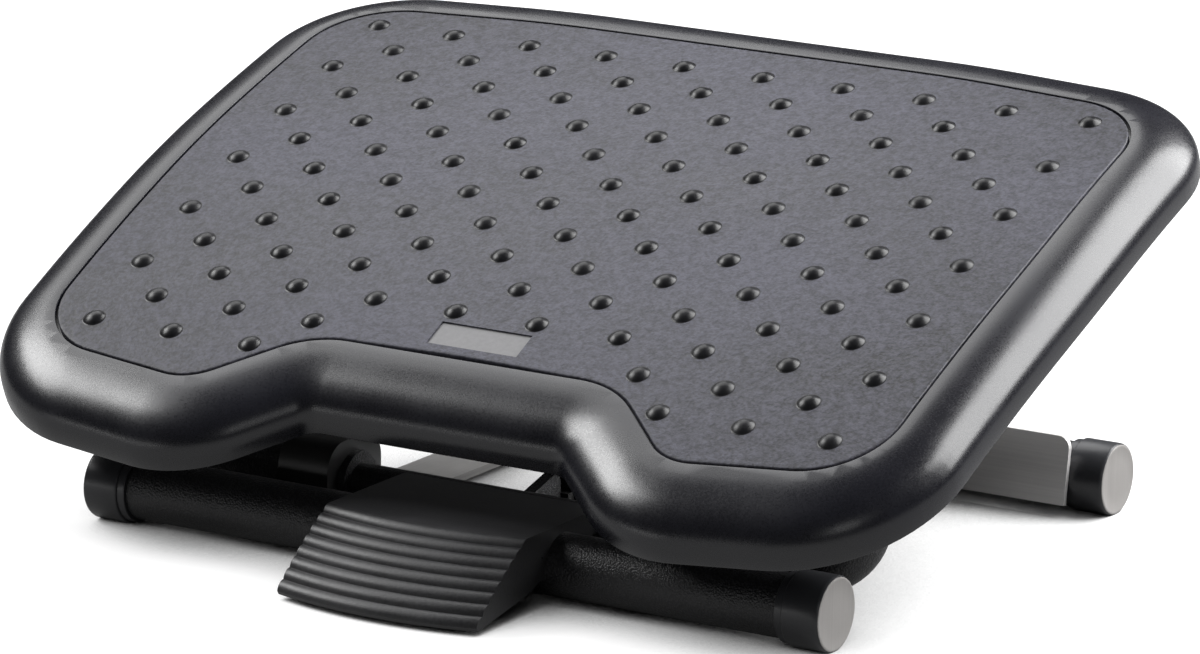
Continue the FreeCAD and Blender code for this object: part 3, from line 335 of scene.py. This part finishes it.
def rounded_loop(corners, radii, arc_steps, line_steps):
    """Points along a closed outline whose corners are rounded by arcs."""
    arcs = []
    for i, (corner, radius) in enumerate(zip(corners, radii)):
        back = (corners[i - 1] - corner).normalized()
        on = (corners[(i + 1) % len(corners)] - corner).normalized()
        half = back.angle(on) / 2
        reach = radius / math.tan(half)
        centre = corner + (back + on).normalized() * (radius / math.sin(half))
        start, end = corner + back * reach - centre, corner + on * reach - centre
        sweep = start.angle_signed(end)
        turned = []
        for k in range(arc_steps[i] + 1):
            cos, sin = math.cos(-sweep * k / arc_steps[i]), math.sin(-sweep * k / arc_steps[i])
            turned.append(centre + Vector((start.x * cos - start.y * sin, start.x * sin + start.y * cos)))
        arcs.append(turned)
    loop = []
    for i, arc in enumerate(arcs):
        loop += arc
        start, end = arc[-1], arcs[(i + 1) % len(arcs)][0]
        loop += [start.lerp(end, k / line_steps[i]) for k in range(1, line_steps[i])]
    return loop


def outline(side, rear, front):
    """Outline of the pad grown by margins, with the same number of points for any margins."""
    points = [Vector(p) for p in PAD_POINTS]
    grow = (rear, rear, side, side, front, front, front)
    radii = [500 + rear, 38 + (rear + side) / 2, 1200 + side, 36 + (side + front) / 2,
             26 + front, 42.4 - front]
    lines = []
    for start, end, margin in zip(points, points[1:], grow):
        run = (end - start).normalized()
        lines.append((start + Vector((-run.y, run.x)) * margin, run))
    corners = []
    for (p, u), (q, v) in zip(lines, lines[1:]):
        gap = q - p
        corners.append(p + u * ((gap.x * v.y - gap.y * v.x) / (u.x * v.y - u.y * v.x)))
    corners += [Vector((-corner.x, corner.y)) for corner in reversed(corners)]
    arcs = [10, 18, 10, 18, 18, 18]
    straights = [4, 5, 5, 4, 3, 8]
    notch_straight = 12
    return rounded_loop(corners, radii + radii[::-1], arcs + arcs[::-1],
                        straights + straights[-2::-1] + [notch_straight])


def made(name, bm, place, node, body, materials):
    """Turn a bmesh in millimetres into a finished piece that rides a body and replaces a node."""
    bmesh.ops.scale(bm, vec=(MM, MM, MM), verts=bm.verts)
    bmesh.ops.transform(bm, matrix=place, verts=bm.verts)
    bmesh.ops.recalc_face_normals(bm, faces=bm.faces)
    mesh = bpy.data.meshes.new(name)
    bm.to_mesh(mesh)
    bm.free()
    for polygon in mesh.polygons:
        polygon.use_smooth = True
    sharp_edge = math.radians(34)
    mesh.set_sharp_from_angle(angle=sharp_edge)
    for mat in materials:
        mesh.materials.append(mat)
    piece = bpy.data.objects.new(name, mesh)
    bpy.context.scene.collection.objects.link(piece)
    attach(piece, body)
    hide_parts(node)


def stack(bm, loops):
    """Closed rings of points joined by quads; returns the rings' vertices."""
    rings = [[bm.verts.new(p) for p in loop] for loop in loops]
    for low, high in zip(rings, rings[1:]):
        for i in range(len(low)):
            j = (i + 1) % len(low)
            bm.faces.new((low[i], low[j], high[j], high[i]))
    return rings


def capped(bm, loops):
    """A stack of rings with a face on both ends; returns the two faces."""
    rings = stack(bm, loops)
    return [bm.faces.new(rings[0]), bm.faces.new(rings[-1])]


def cut(bm, point, normal):
    """Cut every face along a plane."""
    geom = list(bm.verts) + list(bm.edges) + list(bm.faces)
    bmesh.ops.bisect_plane(bm, geom=geom, plane_co=point, plane_no=normal)


def sliced(bm, faces):
    """Cut flat caps into strips so that they can follow the crown."""
    bmesh.ops.triangulate(bm, faces=faces)
    reach = 180.0
    y = -reach
    while y < reach:
        cut(bm, (0, y, 0), (0, 1, 0))
        y += SLICE


def tray_arc():
    """Inset and depth along the rounded corner between the tray's wall and its deck."""
    for k in range(TRAY_STEPS + 1):
        turn = math.pi / 2 * k / TRAY_STEPS
        yield TRAY_RADIUS * (1 - math.cos(turn)), DECK + TRAY_RADIUS * (1 - math.sin(turn))


def shell():
    """Tray with its superelliptic rim, skirt, inner wall, deck and ribs."""
    # Each row is the share of the rim's width, a margin added to it, and the depth below the top
    profile = [(0, 0.5, PAD), (0, 0.5, 0.3), (0, 0.62, 0.09), (0, 0.9, 0.0)]
    for k in range(RIM_FIRST_STEP, RIM_STEPS + 1):
        turn = math.pi / 2 * k / RIM_STEPS
        share = math.sin(turn) ** (2 / RIM_POWER)
        profile.append((share, 0, RIM_DROP * (1 - max(math.cos(turn), 0.0) ** (2 / RIM_POWER))))
    profile += [(1, 0, SKIRT - 0.7), (1, -0.2, SKIRT - 0.2), (1, -0.7, SKIRT),
                (1, 0.5 - WALL, SKIRT), (1, 0.1 - WALL, SKIRT - 0.2), (1, -WALL, SKIRT - 0.6)]
    profile += [(1, -WALL - inset, depth) for inset, depth in tray_arc()]
    bm = bmesh.new()
    loops = []
    for share, extra, depth in profile:
        margins = [share * rim + extra for rim in (RIM_SIDE, RIM_REAR, RIM_FRONT)]
        loops.append([Vector((p.x, p.y, -depth)) for p in outline(*margins)])
    sliced(bm, capped(bm, loops))
    ribs(bm)
    crowned(bm)
    made("shell", bm, PLATFORM, "platform_shell", "platform", [MATERIALS["shell_plastic"]])


def ribs(bm):
    """Stiffening ribs under the deck, with ends that follow the tray's inner corner."""
    low = DECK + RIB_DEPTH

    def bar(start, end, place):
        """A rib between two inner walls, drawn along its length and depth."""
        arc = list(tray_arc())[1:]
        side = [(start, low)] + [(start + inset, depth - RIB_SINK) for inset, depth in arc]
        side += [(end - inset, depth - RIB_SINK) for inset, depth in reversed(arc)] + [(end, low)]
        count = max(2, int((end - start) / RIB_SEGMENT))
        side += [(end + (start - end) * k / count, low) for k in range(1, count)]
        capped(bm, [[Vector(place(u, half, -depth)) for u, depth in side]
                    for half in (-RIB_HALF, RIB_HALF)])

    rear = 136.5 + RIM_REAR - WALL
    notch_front = WALL - 103.0 - RIM_FRONT
    lobe_front = WALL - 139.0 - RIM_FRONT
    wide = 196.5 + RIM_SIDE - WALL
    for x in (-RIB_INNER, RIB_INNER):
        bar(notch_front, rear + 1.5, lambda u, h, z, x=x: (x + h, u, z))
    for x in (-RIB_OUTER, RIB_OUTER):
        bar(lobe_front + 2.0, rear - 2.0, lambda u, h, z, x=x: (x + h, u, z))
    for y in (-RIB_INNER, RIB_INNER):
        bar(-wide, wide, lambda u, h, z, y=y: (u, y + h, z))


def dome_places():
    """Middles of the domes; the rows beside the notch and one place at the rear right stay free."""
    rows, rear_row = 13, 3
    for row in range(rows):
        v = rear_row - row / 2
        count = 9 if row % 2 else 10
        for k in range(count):
            u = k - (count - 1) / 2
            if not (row == 1 and u == 4) and not (row >= 11 and abs(u) < 2):
                yield PITCH * u, PITCH * v


def recess(bm):
    """Sink the label's rectangle into the pad's top."""
    for way in (1, -1):
        cut(bm, (way * LABEL_HALF_WIDTH, 0, 0), (1, 0, 0))
    for way in (-1, 1):
        cut(bm, (0, LABEL_Y + way * LABEL_HALF_DEPTH, 0), (0, 1, 0))
    hole = []
    for face in bm.faces:
        middle = face.calc_center_median()
        if abs(middle.x) < LABEL_HALF_WIDTH and abs(middle.y - LABEL_Y) < LABEL_HALF_DEPTH and middle.z > -0.01:
            hole.append(face)
    bmesh.ops.delete(bm, geom=hole, context="FACES")
    edge = [e for e in bm.edges if len(e.link_faces) == 1]
    grown = bmesh.ops.extrude_edge_only(bm, edges=edge)["geom"]
    down = [v for v in grown if isinstance(v, bmesh.types.BMVert)]
    bmesh.ops.translate(bm, vec=(0, 0, -LABEL_RECESS), verts=down)


def domes(bm):
    """Low spherical domes with a small fillet at the foot."""
    ball = (DOME_RADIUS ** 2 + DOME_HEIGHT ** 2) / (2 * DOME_HEIGHT)
    profile = list(DOME_FOOT)
    profile += [(r, math.sqrt(ball * ball - r * r) - ball + DOME_HEIGHT) for r in DOME_RADII]
    circle = [on_circle(i, DOME_AROUND) for i in range(DOME_AROUND)]
    for x, y in dome_places():
        rings = stack(bm, [[Vector((x + r * cos, y + r * sin, h)) for cos, sin in circle]
                           for r, h in profile])
        bm.faces.new(rings[-1])


def pad():
    """Textured top pad with a rounded edge, its domes and the label's recess."""
    profile = [(-0.55, PAD), (-0.55, 0.6), (-0.66, 0.3), (-0.88, 0.1), (-1.2, 0.0), (-2.2, 0.0)]
    notch_y, notch_half, notch_gap = -80, 62, 0.5
    bm = bmesh.new()
    loops = []
    for margin, depth in profile:
        loop = []
        for p in outline(margin, margin, margin):
            near_notch = p.y < notch_y and abs(p.x) < notch_half
            shift = notch_gap * (1 + math.cos(math.pi * p.x / notch_half)) if near_notch else 0.0
            loop.append(Vector((p.x, p.y + shift, -depth)))
        loops.append(loop)
    sliced(bm, capped(bm, loops))
    recess(bm)
    plain = len(bm.faces)
    domes(bm)
    crowned(bm)
    bm.faces.ensure_lookup_table()
    # The domes' faces take the darker copy of the pad plastic, which paints shade on them
    for face in bm.faces[plain:]:
        face.material_index = 1
    made("pad", bm, PLATFORM, "platform_pad", "platform", [MATERIALS["pad_plastic"], DOME_SHADED_PLASTIC])


def lathe(profile, x0, way, y):
    """Surface of revolution about a tube's axis from (distance, radius) pairs."""
    bm = bmesh.new()
    circle = [on_circle(i, LATHE_AROUND) for i in range(LATHE_AROUND)]
    z = AXIS_Z / MM
    capped(bm, [[Vector((way * (x0 + along), y + r * cos, z + r * sin)) for cos, sin in circle]
                for along, r in profile])
    return bm


def caps():
    """Moulded end caps with a collar at the tube, and their metal discs."""
    length = CAP_OUTER - CAP_INNER
    cap = [(0.0, 13.1), (0.0, 14.1), (0.25, 14.35), (3.4, 14.45), (3.5, 14.95), (3.75, 15.2),
           (4.1, CAP_RADIUS), (length - 1.3, CAP_RADIUS), (length - 0.75, 15.2), (length - 0.25, 15.0),
           (length - 0.02, 14.85), (length, 14.8), (length, DISC_RADIUS + 0.05),
           (length - 1.3, DISC_RADIUS + 0.05)]
    disc = [(0.0, DISC_RADIUS), (1.2, DISC_RADIUS), (1.45, DISC_RADIUS - 0.1), (1.6, DISC_RADIUS - 0.45),
            (1.6, DISC_RADIUS - 1.0), (1.52, DISC_RADIUS - 1.25), (1.52, 8.0), (1.52, 3.0)]
    for kind, y in (("front", AXIS_Y / MM), ("rear", AXIS_Y / MM + TUBE_SPACING)):
        for side, way in (("left", -1), ("right", 1)):
            bm = lathe(cap, CAP_INNER, way, y)
            for vert in bm.verts:
                vert.co.z = max(vert.co.z, 0.0)
            made("cap_%s_%s" % (kind, side), bm, Matrix(), "%s_cap_%s" % (kind, side), "base",
                 [MATERIALS["cap_plastic"]])
            bm = lathe(disc, DISC_INNER, way, y)
            made("disc_%s_%s" % (kind, side), bm, Matrix(), "%s_disc_%s" % (kind, side), "base",
                 [MATERIALS["silver_disc"]])


# ---------- stage, lights and camera ----------

AIM = Vector((0, 0, 0.09))

# Soft boxes: name, azimuth, elevation (degrees), distance, width, height (metres), radiance
LIGHTS = (
    ("right_rear", 46, 42, 2.4, 2.4, 2.1, 10.5),
    ("left", 191, 40, 2.4, 1.25, 0.85, 13.0),
    ("rear_left", 142, 50, 2.4, 1.7, 1.6, 2.7),
    ("front_low", 236, -3, 2.4, 1.4, 0.35, 3.0),
    ("front_right", 300, 22, 2.6, 0.7, 0.7, 1.6),
)


def area_light(name, azimuth, elevation, distance, size_x, size_y, radiance):
    """A soft box that is aimed at the object, with its brightness given as radiance."""
    turn, rise = math.radians(azimuth), math.radians(elevation)
    direction = Vector((math.cos(turn) * math.cos(rise), math.sin(turn) * math.cos(rise), math.sin(rise)))
    data = bpy.data.lights.new(name, "AREA")
    data.shape = "RECTANGLE"
    data.size = size_x
    data.size_y = size_y
    data.energy = radiance * math.pi * size_x * size_y
    lamp = bpy.data.objects.new(name, data)
    lamp.location = AIM + direction * distance
    lamp.rotation_euler = (AIM - lamp.location).to_track_quat("-Z", "Y").to_euler()
    bpy.context.scene.collection.objects.link(lamp)


def open_floor(tree):
    """0 on floor that the object covers, 1 on the open floor."""
    shade = add(tree, "ShaderNodeAmbientOcclusion", samples=8)
    shade.inputs["Distance"].default_value = 0.3
    return span(tree, shade.outputs["AO"], (0.14, 0.44))


def camera_rays(tree):
    """The light path's outputs, and 1 for rays that the camera sees directly."""
    rays = add(tree, "ShaderNodeLightPath").outputs
    return rays, total(tree, rays["Is Camera Ray"], rays["Is Transmission Ray"], "MAXIMUM")


def floor():
    """Floor that is white to the camera with the object's soft shadow, and dim to other rays."""
    half, seen_glow, mirrored_glow = 30.0, 0.88, 0.4
    mesh = bpy.data.meshes.new("floor")
    corners = [(-half, -half, 0), (half, -half, 0), (half, half, 0), (-half, half, 0)]
    mesh.from_pydata(corners, [], [(0, 1, 2, 3)])
    plane = bpy.data.objects.new("floor", mesh)
    bpy.context.scene.collection.objects.link(plane)
    mat, tree, shader = material("floor_white")
    fine = noise(tree, position(tree), 60.0)
    rays, seen = camera_rays(tree)
    pale = mixed(tree, fine, (0.3, 0.3, 0.3), (0.34, 0.34, 0.34))
    dim = mixed(tree, fine, (0.1, 0.1, 0.1), (0.12, 0.12, 0.12))
    tree.links.new(mixed(tree, seen, dim, pale), shader.inputs["Base Color"])
    shader.inputs["Roughness"].default_value = 0.9
    shader.inputs["Specular IOR Level"].default_value = 0.0
    shader.inputs["Emission Color"].default_value = (1.0, 1.0, 1.0, 1.0)
    mirrored = total(tree, rays["Is Glossy Ray"], mirrored_glow, "MULTIPLY")
    glow = total(tree, total(tree, seen, seen_glow, "MULTIPLY"), mirrored, "MAXIMUM")
    tree.links.new(total(tree, glow, open_floor(tree), "MULTIPLY"), shader.inputs["Emission Strength"])
    mesh.materials.append(mat)


def studio():
    """World that is white to the camera and nearly dark to the object."""
    world = bpy.data.worlds.new("studio")
    world.use_nodes = True
    tree = world.node_tree
    seen = camera_rays(tree)[1]
    soft = tree.nodes["Background"]
    soft.inputs["Color"].default_value = (1.0, 1.0, 1.0, 1.0)
    tree.links.new(span(tree, seen, (0.0, 1.0), (0.04, 1.0)), soft.inputs["Strength"])
    bpy.context.scene.world = world


def camera():
    """The photograph's camera, from its fit to the platform's lattice of domes."""
    data = bpy.data.cameras.new("camera")
    data.sensor_width = 36.0
    data.lens = 192.18
    data.clip_start = 0.1
    data.clip_end = 100.0
    cam = bpy.data.objects.new("camera", data)
    axes = Matrix(((0.855578, -0.13789, 0.498972),
                   (0.517395, 0.196099, -0.832975),
                   (0.017012, 0.970841, 0.239122)))
    place = Matrix.Translation((1.30683, AXIS_Y - 2.07473, AXIS_Z + 0.69401))
    cam.matrix_world = place @ axes.to_4x4()
    bpy.context.scene.collection.objects.link(cam)
    bpy.context.scene.camera = cam


shell()
pad()
caps()
floor()
studio()
camera()
for light in LIGHTS:
    area_light(*light)
bpy.context.scene.view_settings.view_transform = "Standard"
